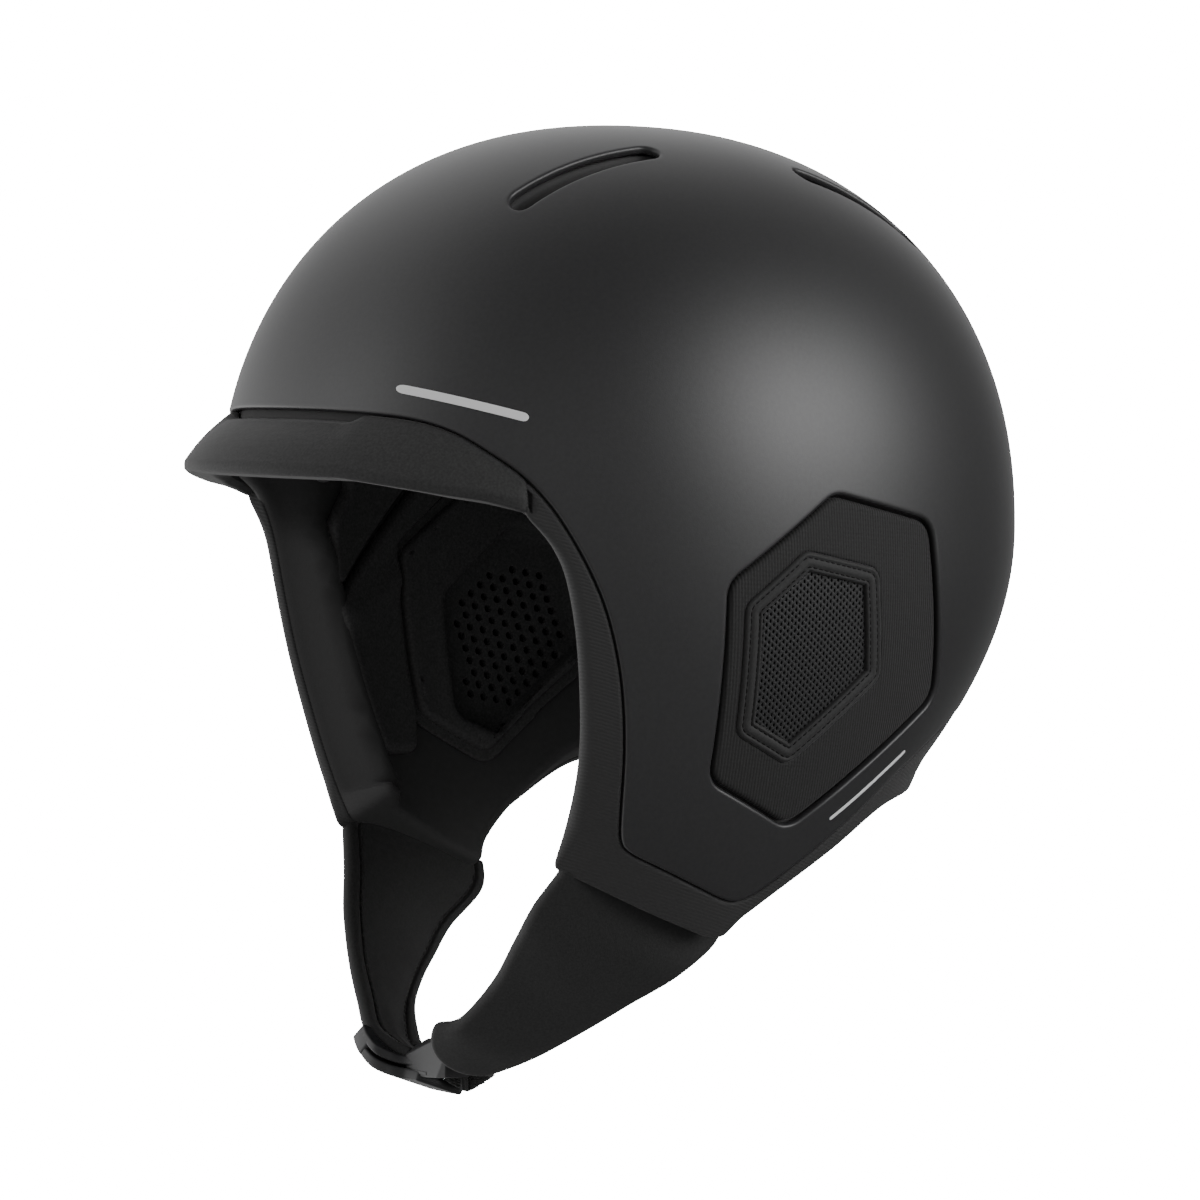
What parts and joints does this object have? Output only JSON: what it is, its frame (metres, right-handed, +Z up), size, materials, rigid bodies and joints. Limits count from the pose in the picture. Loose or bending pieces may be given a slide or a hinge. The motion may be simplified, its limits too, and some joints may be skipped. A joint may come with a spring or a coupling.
{
  "type": "water sports helmet",
  "caption": "Open-face water helmet: rounded hard shell over a foam liner, soft brim, mesh ear windows, and a neoprene chin strap with a side-opening buckle.",
  "frame": {"origin": "centre of the shell's widest horizontal section, on the middle plane, inside the head cavity", "axes": "+Z up through the crown, -Y towards the front of the face opening, +X towards the wearer's left"},
  "size_m": [0.2152, 0.2619, 0.2918],
  "materials": {
    "shell": "satin black moulded shell with a fine speckled texture and rounded slot edges",
    "foam": "foam faced with a fine ribbed knit, matt black",
    "brim": "soft foam brim faced with a diagonal ribbed knit, charcoal",
    "pad": "smooth brushed lining over soft foam, near black",
    "hook_loop": "hook-and-loop tape, black",
    "ear_fabric": "vertical fine ribbed knit, black",
    "bezel": "smooth bonded ring with two stitched outlines, black",
    "mesh": "open diamond mesh, black",
    "neoprene": "fabric-faced neoprene with bound edges, near black",
    "webbing": "woven nylon webbing, black",
    "buckle": "satin dark grey moulded nylon",
    "latch": "satin dark grey moulded nylon with grip ribs",
    "metal": "stainless steel"
  },
  "bodies": {
    "helmet": {"outer_shell": "shell", "impact_liner": "foam", "brim_hook_strip": "hook_loop", "crown_pad": "pad", "forehead_pad": "pad", "nape_pad": "pad", "temple_pad_left": "pad", "temple_pad_right": "pad", "strap_anchors_left": "metal", "strap_anchors_right": "metal", "anchor_rivets": "metal"},
    "brim": {"brim": "brim", "brim_loop_strip": "hook_loop"},
    "ear_pad_left": {"ear_panel_left": "ear_fabric", "ear_bezel_left": "bezel", "ear_mesh_left": "mesh", "ear_cushion_left": "pad"},
    "ear_pad_right": {"ear_panel_right": "ear_fabric", "ear_bezel_right": "bezel", "ear_mesh_right": "mesh", "ear_cushion_right": "pad"},
    "strap_left": {"chin_strap_left": "neoprene", "webbing_left": "webbing", "folded_webbing": "webbing", "buckle_socket": "buckle", "socket_magnet": "metal"},
    "strap_right": {"chin_strap_right": "neoprene", "webbing_right": "webbing", "buckle_tongue": "buckle", "tongue_magnet": "metal"},
    "latch": {"buckle_latch": "latch"},
    "keeper": {"webbing_keeper": "webbing"}
  },
  "joints": [
    {"name": "brim_slide", "type": "slide", "parent": "helmet", "child": "brim", "axis": [0, -1, 0], "range_m": [0, 0.03]},
    {"name": "ear_pad_left_slide", "type": "slide", "parent": "helmet", "child": "ear_pad_left", "axis": [-1, 0, 0], "range_m": [0, 0.03]},
    {"name": "ear_pad_right_slide", "type": "slide", "parent": "helmet", "child": "ear_pad_right", "axis": [1, 0, 0], "range_m": [0, 0.03]},
    {"name": "strap_left_swing", "type": "hinge", "parent": "helmet", "child": "strap_left", "pos_m": [0.0718, -0.0355, -0.1065], "axis": [-0.1988, -0.8871, 0.4166], "range_deg": [0, 40], "stiffness_Nm_per_rad": 0.2},
    {"name": "strap_right_swing", "type": "hinge", "parent": "helmet", "child": "strap_right", "pos_m": [-0.0718, -0.0355, -0.1065], "axis": [-0.1988, 0.8871, -0.4166], "range_deg": [0, 40], "stiffness_Nm_per_rad": 0.2},
    {"name": "latch_slide", "type": "slide", "parent": "strap_left", "child": "latch", "axis": [0, -0.9848, 0.1736], "range_m": [0, 0.004]},
    {"name": "keeper_slide", "type": "slide", "parent": "strap_left", "child": "keeper", "axis": [1, 0, 0], "range_m": [0, 0.006]}
  ]
}
